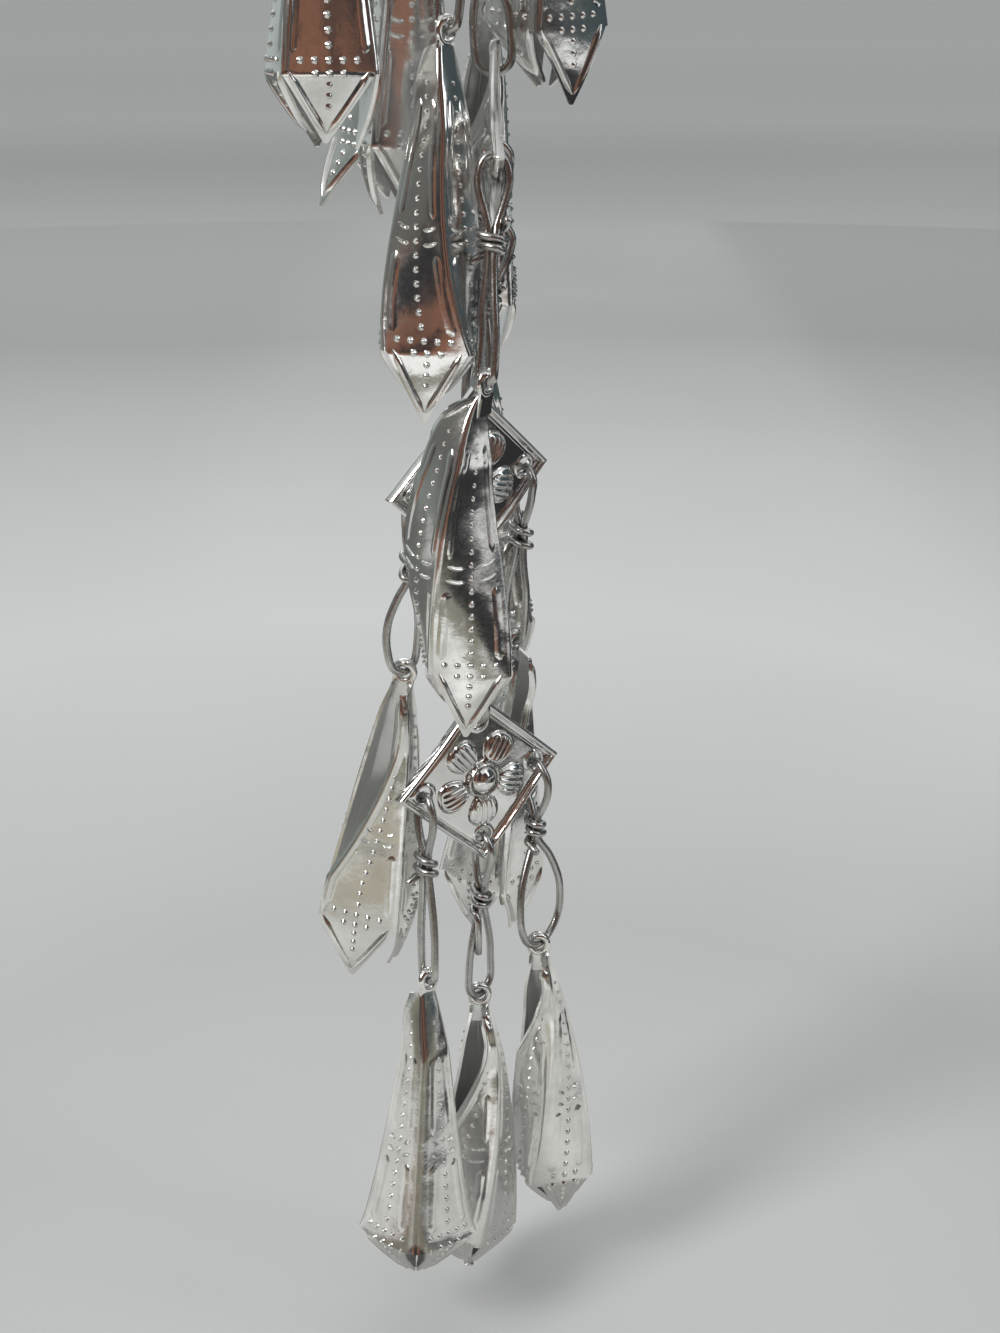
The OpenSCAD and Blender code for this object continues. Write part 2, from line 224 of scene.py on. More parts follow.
# Places of the plates: middle, and turns about X, Y and Z
Plate = namedtuple("Plate", "place turns")
PLATES = [
    Plate((2.6, -12, -26.0), (0, 0, 80)),
    Plate((3.65, -12, -53.1), (0, 0, -90)),
    Plate((1.6, -11.6, -80.5), (9, -4, 37)),
    Plate((2.3, -11.4, -107.8), (3, -4, 32)),
]

# Places of the drops: ear hole, lean of the tips, turns at the ear and the shoulder, fullness of the upper
# body, breadth, depth where the front panel is full, bends of the left, back, right and front tips, how late
# the turn sets in, bow along X, and width of the softened folds at the shoulder
DROP_COLUMNS = "place lean turns fullness breadth full_s bends ease bow fold_w"
Drop = namedtuple("Drop", DROP_COLUMNS, defaults=(1, 0, 0.6))
DROPS = [
    Drop((-9.2, -17.6, -23.0), (-0.3, -0.8), (16, 16), 1.1, 1, 13, (32, 14, 10, 28)),
    Drop((-4.75, -2.4, -29.5), (-0.6, 1.2), (32, 30), 1, 1, 13, (-30, 32, 10, 5)),
    Drop((-2.9, -9.6, -28.9), (-0.5, -0.2), (12, 12), 1, 0.95, 13, (12, 12, 8, 20)),
    Drop((7.9, -11.0, -19.9), (-0.3, 3.1), (36, 36), 1, 0.98, 13, (38, 30, 30, 0)),
    Drop((-0.05, -17.2, -44.0), (-1.97, 0.4), (-130, -90), 1, 0.96, 13, (10, 34, 10, 34), 3, 0, 0.6),
    Drop((3.2, -3.4, -42.9), (-2.2, 6.0), (0, 0), 1, 1, 13, (8, 8, 8, 8)),
    Drop((2.95, -20.0, -70.4), (-2.0, 2.8), (236, 184), 1.9, 0.93, 13, (30, 3, 30, 25), 1.3, -2.1, 0.6),
    Drop((2.6, -3.6, -71.4), (0.3, 3.0), (0, 8), 1, 1, 13, (8, 8, 8, 8)),
    Drop((-4.2, -13.4, -97.0), (-4.65, 3.1), (-14, -12), 1.2, 1, 20, (14, 8, 10, 6)),
    Drop((5.3, -6.4, -96.6), (-2.5, 3.6), (57, 57), 1, 1, 13, (14, 14, 10, 10)),
    Drop((-2.4, -16.8, -125.2), (-1.4, -4.2), (-135, -135), 0.78, 1.12, 13, (42, 42, 42, 42), 1, 0, 1.9),
    Drop((2.15, -10.8, -129.9), (-1.2, -2.5), (0, -34), 1.5, 0.9, 14, (40, 40, 40, 40), 1, 0.5, 1.0),
    Drop((7.6, -10.2, -125.0), (2.2, 0), (-5, -78), 1.15, 0.85, 11, (36, 34, 30, 36), 1, 0.2, 1.6),
]

# Eyelets under the head plate: place, and turn of the wire's way through
EYELETS = [
    ((-9.2, -16.8, -4.5), 100),
    ((-5.0, -4.2, -10.5), 120),
    ((-1.8, -8.8, -9.5), 105),
    ((7.5, -12.4, -5.0), 120),
    ((2.5, -12.2, -4.5), 80),
]

# Corners of a plate, as directions in it
LEFT, RIGHT, TOP, BOTTOM = (-1, 0, 0), (1, 0, 0), (0, 0, 1), (0, 0, -1)

# What each link joins: upper plate or 0, its corner or the eyelet's number, lower plate or 0, drop or 0,
# half widths of the upper and the lower loop, extra turn of the lower loop, length of the last wire end
LINK_COLUMNS = "upper_plate upper_end lower_plate drop upper_w lower_w extra_turn end_l"
Link = namedtuple("Link", LINK_COLUMNS, defaults=(0, CUT_L))
LINKS = [
    Link(0, 1, 0, 1, 1.3, 1.0),
    Link(0, 2, 0, 2, 1.3, 1.0),
    Link(0, 3, 0, 3, 1.3, 1.0),
    Link(0, 4, 0, 4, 1.3, 1.0),
    Link(0, 5, 1, 0, 1.3, 1.4),
    Link(1, LEFT, 0, 5, 1.45, 1.1),
    Link(1, RIGHT, 0, 6, 1.3, 1.0),
    Link(1, BOTTOM, 2, 0, 1.5, 1.5),
    Link(2, RIGHT, 0, 7, 1.15, 1.1, -25),
    Link(2, LEFT, 0, 8, 1.3, 1.0),
    Link(2, BOTTOM, 3, 0, 1.5, 1.5),
    Link(3, LEFT, 0, 9, 1.3, 1.35, -30),
    Link(3, RIGHT, 0, 10, 1.3, 1.0, 0, 1.6),
    Link(3, BOTTOM, 4, 0, 1.5, 1.5),
    Link(4, LEFT, 0, 11, 1.3, 0.9),
    Link(4, BOTTOM, 0, 12, 1.4, 1.7, -36, 3.6),
    Link(4, RIGHT, 0, 13, 1.5, 2.6, -33),
]

# Bent sides of some links' loops, pushed along X: upper left, upper right, lower left and lower right side
PUSHES = {
    12: (0, 0, -0.8, 0),
    17: (0, 0.35, 0, 0.6),
}


# Turning and placing

def rot(axis, a):
    """A turn about axis 0, 1 or 2, in degrees."""
    c, s = math.cos(math.radians(a)), math.sin(math.radians(a))
    turn = np.eye(3)
    i, j = (axis + 1) % 3, (axis + 2) % 3
    turn[i, i], turn[i, j], turn[j, i], turn[j, j] = c, -s, s, c
    return turn


def rot_z(a):
    return rot(2, a)


def swing(direction):
    """The smallest rotation that turns straight down into the given direction."""
    x, y, z = direction
    bearing = math.degrees(math.atan2(y, x))
    tilt = math.degrees(math.acos(-z / math.sqrt(x * x + y * y + z * z)))
    return rot_z(bearing) @ rot(1, -tilt) @ rot_z(-bearing)


def about_z(points, angles):
    """Turns each point about Z by its own angle in degrees."""
    c, s = np.cos(np.radians(angles)), np.sin(np.radians(angles))
    x, y, z = points[..., 0], points[..., 1], points[..., 2]
    return np.stack([x * c - y * s, x * s + y * c, z], axis=-1)


def unit(v):
    return v / np.maximum(np.linalg.norm(v, axis=-1, keepdims=True), 1e-12)


def plate_turn(i):
    """The rotation of a plate, numbered from 1 at the top."""
    x, y, z = PLATES[i - 1].turns
    return rot_z(z) @ rot(1, y) @ rot(0, x)


def plate_hole(i, corner):
    return np.array(PLATES[i - 1].place, float) + plate_turn(i) @ (CORNER_AT * np.array(corner, float))


# Meshes

def new_object(name, data):
    obj = bpy.data.objects.new(name, data)
    bpy.context.scene.collection.objects.link(obj)
    return obj


class Shape:
    """Collects the points and faces of one piece, and places them in the part by a given function."""

    def __init__(self, place):
        self.place = place
        self.points, self.faces, self.count = [], [], 0

    def add(self, points, faces):
        self.points.append(self.place(points))
        self.faces.extend(tuple(v + self.count for v in f) for f in faces)
        self.count += len(self.points[-1])

    def piece(self, name, material, node, sharp):
        """Makes the object that stands for the CAD node. Edges above the sharp angle stay sharp."""
        mesh = bpy.data.meshes.new(name)
        mesh.from_pydata(np.concatenate(self.points) * MM, [], self.faces)
        mesh.validate()
        mesh.shade_smooth()
        mesh.set_sharp_from_angle(angle=math.radians(sharp))
        mesh.materials.append(material)
        obj = new_object(name, mesh)
        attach(obj, "root")
        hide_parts(node)


def grid_faces(rows, cols, start=0, closed=False):
    """Quads of a grid of points, whose rows may be closed rings. Normals point along columns x rows."""
    across = cols if closed else cols - 1
    faces = []
    for r in range(rows - 1):
        for c in range(across):
            a = start + r * cols + c
            b = start + r * cols + (c + 1) % cols
            faces.append((a, b, b + cols, a + cols))
    return faces


def bar_faces(rows, cols):
    """Faces of a bar that closed rings of points make, with a flat cap at either end."""
    faces = grid_faces(rows, cols, closed=True)
    faces.append(tuple(reversed(range(cols))))
    faces.append(tuple(range((rows - 1) * cols, rows * cols)))
    return faces


def torus_faces(rings, sides):
    """Quads of closed rings of points that are joined in a ring themselves."""
    faces = []
    for i in range(rings):
        for j in range(sides):
            up, side = (i + 1) % rings, (j + 1) % sides
            faces.append((i * sides + j, i * sides + side, up * sides + side, up * sides + j))
    return faces


def vertex_normals(points, quads):
    q = np.array(quads)
    normal = np.cross(points[q[:, 2]] - points[q[:, 0]], points[q[:, 3]] - points[q[:, 1]])
    total = np.zeros_like(points)
    for k in range(4):
        np.add.at(total, q[:, k], normal)
    return unit(total)


def boundary_edges(faces):
    edges = dict.fromkeys((a, b) for f in faces for a, b in zip(f, f[1:] + f[:1]))
    return [(a, b) for a, b in edges if (b, a) not in edges]


def closed_sheet(outer, inner, quads):
    """A sheet's outer and inner points, with the faces that close it along its free edges."""
    n = len(outer)
    faces = list(quads)
    faces += [tuple(v + n for v in reversed(f)) for f in quads]
    faces += [(b, a, a + n, b + n) for a, b in boundary_edges(quads)]
    return np.concatenate([outer, inner]), faces


def spline(points, steps, closed):
    """Points on a smooth curve through the given ones, which a closed curve joins end to end."""
    p = np.asarray(points, float)
    n = len(p)
    out = []
    for i in range(n if closed else n - 1):
        a, b, c, d = (p[(i + k) % n if closed else min(max(i + k, 0), n - 1)] for k in (-1, 0, 1, 2))
        for k in range(steps):
            t = k / steps
            square, cube = 2 * a - 5 * b + 4 * c - d, 3 * b - a - 3 * c + d
            out.append(0.5 * (2 * b + (c - a) * t + square * t**2 + cube * t**3))
    if not closed:
        out.append(p[-1])
    return np.array(out)


def path_frames(path, closed):
    """Tangents and untwisted normals along a path, and the turn left over where a closed one ends."""
    if closed:
        tangents = unit(np.roll(path, -1, 0) - np.roll(path, 1, 0))
    else:
        tangents = unit(np.gradient(path, axis=0))
    side = np.cross(tangents[0], [0.31, 0.87, 0.38])
    normals = []
    for t in tangents:
        side = unit(side - (side @ t) * t)
        normals.append(side)
    if not closed:
        return tangents, normals, 0
    first, last = (unit(v - (v @ tangents[0]) * tangents[0]) for v in (normals[0], normals[-1]))
    return tangents, normals, math.atan2(np.cross(last, first) @ tangents[0], last @ first)


def tube(path, radius, sides, closed):
    """A round wire along a path. An open one has chamfered ends."""
    path = np.asarray(path, float)
    n = len(path)
    tangents, normals, twist = path_frames(path, closed)
    a = 2 * math.pi * np.arange(sides) / sides
    rings = []
    for i in range(n):
        # The leftover turn is spread along the loop
        b = a + twist * i / n
        across = np.cross(tangents[i], normals[i])
        rings.append(path[i] + radius * (np.outer(np.cos(b), normals[i]) + np.outer(np.sin(b), across)))
    if closed:
        return np.concatenate(rings), torus_faces(n, sides)
    first, last = (
        path[i] + (1 - CHAMFER) * (rings[i] - path[i]) + sign * CHAMFER * radius * tangents[i]
        for i, sign in ((0, -1), (n - 1, 1))
    )
    return np.concatenate([first] + rings + [last]), bar_faces(n + 2, sides)


def bump_dot(centre, normal, along, radius, height):
    """A small raised dot with a soft foot."""
    u = unit(along - (along @ normal) * normal)
    v = np.cross(normal, u)
    a = 2 * math.pi * np.arange(DOT_SIDES) / DOT_SIDES
    ring = np.outer(np.cos(a), u) + np.outer(np.sin(a), v)
    points = [centre + radius * r * ring + height * h * normal for r, h in DOT_PROFILE]
    return np.concatenate(points), bar_faces(len(DOT_PROFILE), DOT_SIDES)


def raised_line(points, normals, width, height):
    """A low rounded rib along a line on a surface, which fades towards its ends."""
    points = np.asarray(points, float)
    tangents = unit(np.gradient(points, axis=0))
    sides = unit(np.cross(tangents, normals))
    n = len(points)
    to_end = np.minimum(np.arange(n), np.arange(n)[::-1])
    fade = np.clip(0.3 + 0.35 * to_end, 0, 1)
    rings = [
        points[i] + width * fade[i] * np.outer([x for x, _ in LINE_PROFILE], sides[i])
        + height * np.outer([h * (fade[i] if h > 0 else 1) for _, h in LINE_PROFILE], normals[i])
        for i in range(n)
    ]
    return np.concatenate(rings), bar_faces(n, len(LINE_PROFILE))


# Drops

def dent_wave(rng):
    """Height, frequency, phase and skew of one wave in a panel."""
    return rng.uniform(0.5, 1.4), rng.uniform(0.22, 0.5), rng.uniform(0, 6.3), rng.uniform(-1, 1)


class DropForm:
    """Where the folded sheet of one drop lies."""

    def __init__(self, drop, seed):
        self.drop = drop
        self.turn, self.shoulder_turn = drop.turns
        x, y = drop.lean
        full = SHOULDER_S + TIP_L
        self.swing = swing((x, y, -math.sqrt(full**2 - x**2 - y**2)))
        rng = random.Random(seed)
        self.waves = [[dent_wave(rng) for _ in range(4)] for _ in range(4)]

    def depth(self, s):
        """Share of the body's depth, from 0 at its top to 1 at the shoulder."""
        return np.clip((s - BODY_S) / (SHOULDER_S - BODY_S), 0, 1)

    def turn_at(self, s):
        return self.turn + (self.shoulder_turn - self.turn) * self.depth(s) ** self.drop.ease

    def half_width(self, s):
        wide = self.drop.breadth * PANEL_W
        return (wide - (wide - PANEL_TOP_W) * (1 - self.depth(s)) ** self.drop.fullness) / 2

    def cut(self, s):
        """What a fold's rounding takes off the two panels beside it."""
        return FOLD_CUT + (self.drop.fold_w / math.sqrt(2) - FOLD_CUT) * self.depth(s)

    def ends(self, panel, s):
        """Both ends of a panel's section at each depth, before it is turned."""
        a, cut = self.half_width(s), self.cut(s)
        if panel == LEFT_PANEL:
            return (-a, -a + SEAM_Y_GAP), (-a, a - cut)
        if panel == BACK_PANEL:
            return (-a + cut, a), (a - cut, a)
        if panel == RIGHT_PANEL:
            return (a, a - cut), (a, -a + cut)
        share = np.clip((s - CLOSING_S) / (self.drop.full_s - CLOSING_S), 0, 1)
        width = np.maximum(LIP_W, share * (2 * a - cut))
        return (a - cut, -a), (a - cut - width, -a)

    def half_length(self, panel, s):
        """Half the panel's width at a depth on its body."""
        (x0, y0), (x1, y1) = self.ends(panel, np.asarray(s, float))
        return np.hypot(x1 - x0, y1 - y0) / 2

    def section(self, x, y, s):
        """A point of the plain section at a depth, whose top narrows to the ear and slopes to its front."""
        a = self.half_width(s)
        front = (a - y) / (2 * a)
        top = np.clip(1 - (s - BODY_S) / DOME_S, 0, 1) ** 2
        narrow = 1 - DOME_NARROWING * top
        shift = TOP_SHIFT * np.maximum(0, 1 - (s - BODY_S) / TOP_SHIFT_S)
        y = a - narrow * (a - y) - shift
        return np.stack([narrow * x, y, -s - DOME_SLOPE * front * top], axis=-1)

    def turned(self, local, s):
        local = about_z(local, self.turn_at(s))
        local[..., 0] += self.drop.bow * np.sin(np.pi * self.depth(s) ** 0.75)
        return local

    def flat(self, panel, t, s):
        """A point of the panel, without its dents. t runs across it from 0 to 1, and s down it."""
        t, s = np.broadcast_arrays(np.asarray(t, float), np.asarray(s, float))
        body_s = np.minimum(s, SHOULDER_S)
        (x0, y0), (x1, y1) = self.ends(panel, body_s)
        base = self.section(x0 + (x1 - x0) * t, y0 + (y1 - y0) * t, body_s)
        bend = math.radians(self.drop.bends[panel])
        out = np.full(t.shape, self.drop.breadth * PANEL_W / 2 - TIP_L * math.sin(bend))
        down = np.full(t.shape, SHOULDER_S + TIP_L * math.cos(bend))
        end = np.stack([BLUNT_W * (t - 0.5), out, -down], axis=-1)
        tip = about_z(end, np.full(t.shape, 90.0 - 90 * panel))
        v = np.clip((s - SHOULDER_S) / TIP_L, 0, 1)[..., None]
        return self.turned(base * (1 - v) + tip * v, body_s)

    def outward(self, panel, s):
        turn = self.turn_at(s)
        normal = np.zeros(turn.shape + (3,))
        normal[..., 1] = 1
        return about_z(normal, turn + 90 - 90 * panel)

    def point(self, panel, t, s):
        """A point of the panel as worn sheet, crowned and slightly dented."""
        t, s = np.broadcast_arrays(np.asarray(t, float), np.asarray(s, float))
        p = self.flat(panel, t, s)
        edge = np.clip(4 * t * (1 - t), 0, 1)
        wide = np.clip((self.half_width(s) - 1) / 2.5, 0, 1)
        v = np.clip((s - SHOULDER_S) / TIP_L, 0, 1)
        crown = CROWN_H * edge * wide * (1 - v)
        # The panel is pinched a little between the two pairs of bars
        middle = sum(BARS_S) / 2
        pinch = PINCH_H * edge * np.exp(-((s - middle) / PINCH_S) ** 2)
        dent = sum(
            amp * np.sin(freq * s + phase + 2.2 * skew * t) for amp, freq, phase, skew in self.waves[panel]
        )
        inside = np.clip((s - BODY_S) / 4, 0, 1) * np.clip((SHOULDER_S + 1.5 - s) / 4, 0, 1)
        lift = crown - pinch + DENT_H * dent * edge * inside + TIP_SWELL_H * np.sin(np.pi * v)
        return p + lift[..., None] * self.outward(panel, s)

    def fold(self, panel, u, s):
        """A point on the rounded fold between a panel and the next one. u runs across it from 0 to 1."""
        a = self.half_width(s)
        x, y = ((-a, a), (a, a), (a, -a))[panel]
        before, after = self.point(panel, 1, s), self.point(panel + 1, 0, s)
        corner = self.turned(self.section(x, y, s), s)
        corner = 0.85 * corner + 0.075 * (before + after)
        return (1 - u) ** 2 * before + 2 * u * (1 - u) * corner + u**2 * after

    def normal(self, panel, t, s):
        dt, ds = 0.02, 0.05
        across = self.point(panel, t + dt, s) - self.point(panel, t - dt, s)
        down = self.point(panel, t, s + ds) - self.point(panel, t, s - ds)
        return unit(np.cross(across, down))

    def world(self, points):
        return points @ self.swing.T + np.array(self.drop.place, float)


def add_sheet(shape, form):
    """The folded sheet itself: four panels with rounded folds between them, and four tips."""
    k = len(PANEL_COLUMNS)
    columns = []
    for panel in range(4):
        columns.append(form.point(panel, PANEL_COLUMNS[None, :], BODY_ROWS[:, None]))
        if panel < FRONT_PANEL:
            columns += [form.fold(panel, u, BODY_ROWS)[:, None, :] for u in FOLD_STEPS]
    body = np.concatenate(columns, axis=1)
    rows, cols = body.shape[:2]
    points = [body.reshape(-1, 3)]
    quads = grid_faces(rows, cols)
    count = rows * cols
    for panel in range(4):
        tip = form.point(panel, PANEL_COLUMNS[None, :], TIP_ROWS[:, None])
        above = [(rows - 1) * cols + panel * (k + len(FOLD_STEPS)) + c for c in range(k)]
        below = [count + c for c in range(k)]
        quads += [(above[c], above[c + 1], below[c + 1], below[c]) for c in range(k - 1)]
        quads += grid_faces(len(TIP_ROWS), k, start=count)
        points.append(tip.reshape(-1, 3))
        count += len(TIP_ROWS) * k
    outer = np.concatenate(points)
    inner = outer - SHEET_T * vertex_normals(outer, quads)
    shape.add(*closed_sheet(outer, inner, quads))


def dot_spots(panel):
    """Places of a panel's dots: a row down its middle, five across the shoulder, and three in the tip."""
    start = CLOSING_DOTS_S if panel == FRONT_PANEL else DOTS_S
    count = int((ROW_S - start) / DOT_PITCH)
    spots = [(0, ROW_S - i * DOT_PITCH) for i in range(count, -1, -1)]
    spots += [(i * DOT_PITCH, ROW_S) for i in (-2, -1, 1, 2)]
    spots += [(i * DOT_PITCH, TIP_ROW_S) for i in (-1, 0, 1)]
    spots += [(0, TIP_ROW_S + TIP_DOT_PITCH * i) for i in (1, 2, 3)]
    return spots


def add_dots(shape, form, panel):
    """The dots of a panel, smaller towards its top, without those that would reach its edges."""
    for x, s in dot_spots(panel):
        half = form.half_length(panel, min(s, SHOULDER_S)) * (1 - max(0, s - SHOULDER_S) / TIP_L)
        if abs(x) > half - DOT_MARGIN:
            continue
        t = 0.5 + x / (2 * half)
        normal = form.normal(panel, t, s)
        centre = form.point(panel, t, s)
        size = min(1, 0.62 + 0.02 * s)
        shape.add(*bump_dot(centre, normal, np.array([0, 0, -1.0]), DOT_R * size, DOT_H * size))


def add_line(shape, form, panel, route, size, steps, inside=False):
    """A raised line through points of a panel, each given by its distance from the middle and its depth."""
    route = spline([(x, s, 0) for x, s in route], steps, False)
    half = form.half_length(panel, np.minimum(route[:, 1], SHOULDER_S))
    half = half * (1 - np.clip((route[:, 1] - SHOULDER_S) / TIP_L, 0, 0.94))
    t = np.clip(0.5 + route[:, 0] / (2 * half), 0.0, 1.0)
    surface, normals = form.point(panel, t, route[:, 1]), form.normal(panel, t, route[:, 1])
    if inside:
        surface, normals = surface - SHEET_T * normals, -normals
    shape.add(*raised_line(surface, normals, *size))


def add_borders(shape, form, panel, side):
    """Low ribs beside a fold, one above the bars where the panel is wide enough, and one below them."""
    top = CLOSING_BORDERS_S if panel == FRONT_PANEL else BORDERS_S
    upper = [s for s in np.linspace(top, BARS_S[0] - 0.9, 6) if form.half_length(panel, s) > 1.05]
    if len(upper) > 2:
        route = [(side * (form.half_length(panel, s) - 0.55), s) for s in upper]
        add_line(shape, form, panel, route, UPPER_BORDER, 6)
    lower = np.linspace(BARS_S[1] + 0.7, ROW_S - 0.5, 5)
    route = [(side * (form.half_length(panel, s) - 0.6), s) for s in lower]
    add_line(shape, form, panel, route, LOWER_BORDER, 6)


def add_bars(shape, form, panel, side):
    """Half of the two pairs of bars, which rise a little towards the fold."""
    for s in BARS_S:
        reach = form.half_length(panel, s) - 0.45
        if reach >= 1.0:
            route = [(side * 0.62, s), (side * (0.35 + 0.45 * reach), s - 0.03), (side * reach, s - 0.32)]
            add_line(shape, form, panel, route, BAR, 4)


def add_tip_rim(shape, form, panel, side):
    """One rim of the tip, from the shoulder to near its end."""
    shoulder = form.half_length(panel, SHOULDER_S)
    rim = [(side * (shoulder - 0.5), SHOULDER_S - 0.15), (side * 0.06, SHOULDER_S + TIP_L - 0.85)]
    add_line(shape, form, panel, rim, TIP_RIM, 10)


def add_hem(shape, form):
    """The rolled free edge of the closing panel."""
    full_s = form.drop.full_s
    upper = np.linspace(BODY_S + 0.4, full_s, 26)
    lower = np.linspace(full_s + 1, SHOULDER_S - 0.4, 6)
    s = np.concatenate([upper, lower])
    t = 1 - np.minimum(0.36 / (2 * form.half_length(FRONT_PANEL, s)), 0.45)
    shape.add(*raised_line(form.point(FRONT_PANEL, t, s), form.normal(FRONT_PANEL, t, s), *HEM))


def ear_ring():
    """The ring that the link runs through, slightly narrow at its sides and thick at its top."""
    steps, sides = 36, 12
    a = 2 * math.pi * np.arange(steps) / steps
    b = 2 * math.pi * np.arange(sides) / sides
    at_top = np.exp(-(np.minimum(a, 2 * math.pi - a) / EAR_TOP_SPREAD) ** 2)[:, None]
    outer_r = EAR_R * (1 - EAR_NARROWING * np.sin(a) ** 2)[:, None]
    half_w = (outer_r - EAR_HOLE_R) / 2
    half_t = EAR_HALF_T + EAR_TOP_HALF_T * at_top
    r = (outer_r + EAR_HOLE_R) / 2 + half_w * np.cos(b)[None, :]
    ring = np.stack([r * np.sin(a)[:, None], half_t * np.sin(b)[None, :], r * np.cos(a)[:, None]], axis=-1)
    return ring.reshape(-1, 3), [f[::-1] for f in torus_faces(steps, sides)]


def ear_neck():
    """The plate with rounded sides that joins the ring to the back panel."""
    sides = 10
    depths, half_w, half_t = np.array(NECK).T
    a = 2 * math.pi * np.arange(sides) / sides
    c, s = np.cos(a), np.sin(a)
    neck = np.stack([
        half_w[:, None] * np.sign(c) * np.abs(c) ** 0.4,
        half_t[:, None] * np.sign(s) * np.abs(s) ** 0.6,
        np.broadcast_to(-depths[:, None], (len(depths), sides)),
    ], axis=-1)
    return neck.reshape(-1, 3), [f[::-1] for f in bar_faces(len(depths), sides)]


def make_drop(i, material):
    """One drop: its folded sheet, the stamped dots and lines, the hem of its seam, and its ear."""
    form = DropForm(DROPS[i - 1], seed=40 + i)
    shape = Shape(form.world)
    add_sheet(shape, form)
    for panel in range(4):
        add_dots(shape, form, panel)
        for side in (-1, 1):
            add_borders(shape, form, panel, side)
            add_bars(shape, form, panel, side)
            add_tip_rim(shape, form, panel, side)
    for x in (-INNER_RIB_X, INNER_RIB_X):
        rib = [(x, s) for s in np.linspace(3.4, 12, 5)]
        add_line(shape, form, BACK_PANEL, rib, INNER_RIB, 5, inside=True)
    add_hem(shape, form)
    for points, faces in (ear_ring(), ear_neck()):
        shape.add(points @ rot_z(form.turn).T, faces)
    shape.piece(f"sheet_drop_{i}", material, f"drop_{i}", sharp=50)


# Plates

def smooth_step(x, low, high):
    t = np.clip((x - low) / (high - low), 0, 1)
    return t * t * (3 - 2 * t)


def petal_relief(x, y, bearing):
    """Height of one petal, with ribs that fan out inside its smooth rim."""
    a = math.radians(bearing)
    along = x * math.cos(a) + y * math.sin(a)
    aside = -x * math.sin(a) + y * math.cos(a)
    u = (along - PETAL_AT) / (PETAL_L / 2)
    v = aside / (PETAL_W / 2 * (1 + PETAL_FLARE * u))
    r = np.sqrt(u * u + v * v)
    body = PETAL_H * np.sqrt(np.clip(1 - r**2.6, 0, 1))
    fan = aside / (0.62 + 0.1 * along)
    rib = 0.5 + 0.5 * np.cos(2 * math.pi * fan / RIB_PITCH)
    ribs = RIB_H * (rib - 0.75) * smooth_step(0.88 - r, 0.03, 0.2)
    return body + np.where(r < 1, ribs, 0)


def flower_relief(x, y):
    """Height of the flower and its domed middle. The flower is upright where y points to a corner."""
    height = np.zeros_like(x)
    for k in range(PETALS):
        height = np.maximum(height, petal_relief(x, y, -90 + 360 / PETALS * k))
    r = np.hypot(x, y)
    ring = BOSS_RING_H * np.exp(-((r - BOSS_R) / BOSS_RING_W) ** 2)
    dome = BOSS_H * np.sqrt(np.clip(1 - (r / (BOSS_R - 0.12)) ** 2, 0, 1))
    clear = smooth_step(r, BOSS_R + 0.1, BOSS_R + 0.4)
    return np.maximum(height * clear, np.maximum(ring, dome))


def plate_grid(cells):
    """Places of a plate's points, and how far each is from the plate's edge."""
    half = PLATE_W / 2
    line = np.linspace(-half, half, cells + 1)
    u, v = np.meshgrid(line, line)
    # The flower's axes lie along the square's diagonals
    x, y = (u - v) / math.sqrt(2), (u + v) / math.sqrt(2)
    step = PLATE_W / cells
    for hx, hy in PLATE_HOLES:
        # Points near a hole's edge move onto it
        dx, dy = x - hx, y - hy
        r = np.hypot(dx, dy)
        near = np.abs(r - CORNER_HOLE_R) < 0.71 * step
        scale = np.where(near, CORNER_HOLE_R / np.maximum(r, 1e-6), 1)
        x, y = hx + dx * scale, hy + dy * scale
    return x, y, half - np.maximum(np.abs(u), np.abs(v))


def edge_relief(x, y, edge):
    """Height of the plate's rim, of the groove inside it, and of the lips about the corner holes."""
    rim = RIM_H * np.sqrt(np.clip(1 - ((edge - RIM_W / 2) / (RIM_W / 2)) ** 2, 0, 1))
    groove = -GROOVE_H * np.exp(-((edge - RIM_W - GROOVE_AT) / GROOVE_W) ** 2)
    from_hole = [np.hypot(x - hx, y - hy) - CORNER_HOLE_R for hx, hy in PLATE_HOLES]
    lip = sum(HOLE_LIP_H * np.exp(-((away - HOLE_LIP_AT) / HOLE_LIP_W) ** 2) for away in from_hole)
    return rim, groove, lip


def plate_warp(x, y, rng):
    """The slight ripples and the bow of a thin plate."""
    ripples = sum(
        rng.uniform(0.012, 0.03)
        * np.sin(rng.uniform(0.3, 0.8) * x + rng.uniform(0.3, 0.8) * y + rng.uniform(0, 6))
        for _ in range(4)
    )
    return ripples - PLATE_BOW[0] * x**2 - PLATE_BOW[1] * y**2


def plate_quads(x, y):
    """Quads of the plate's points, without those in its corner holes."""
    rows, cols = x.shape
    quads = []
    for f in grid_faces(rows, cols):
        middle_x = (x.flat[f[0]] + x.flat[f[2]]) / 2
        middle_y = (y.flat[f[0]] + y.flat[f[2]]) / 2
        if all(math.hypot(middle_x - hx, middle_y - hy) > CORNER_HOLE_R for hx, hy in PLATE_HOLES):
            quads.append(f)
    return quads


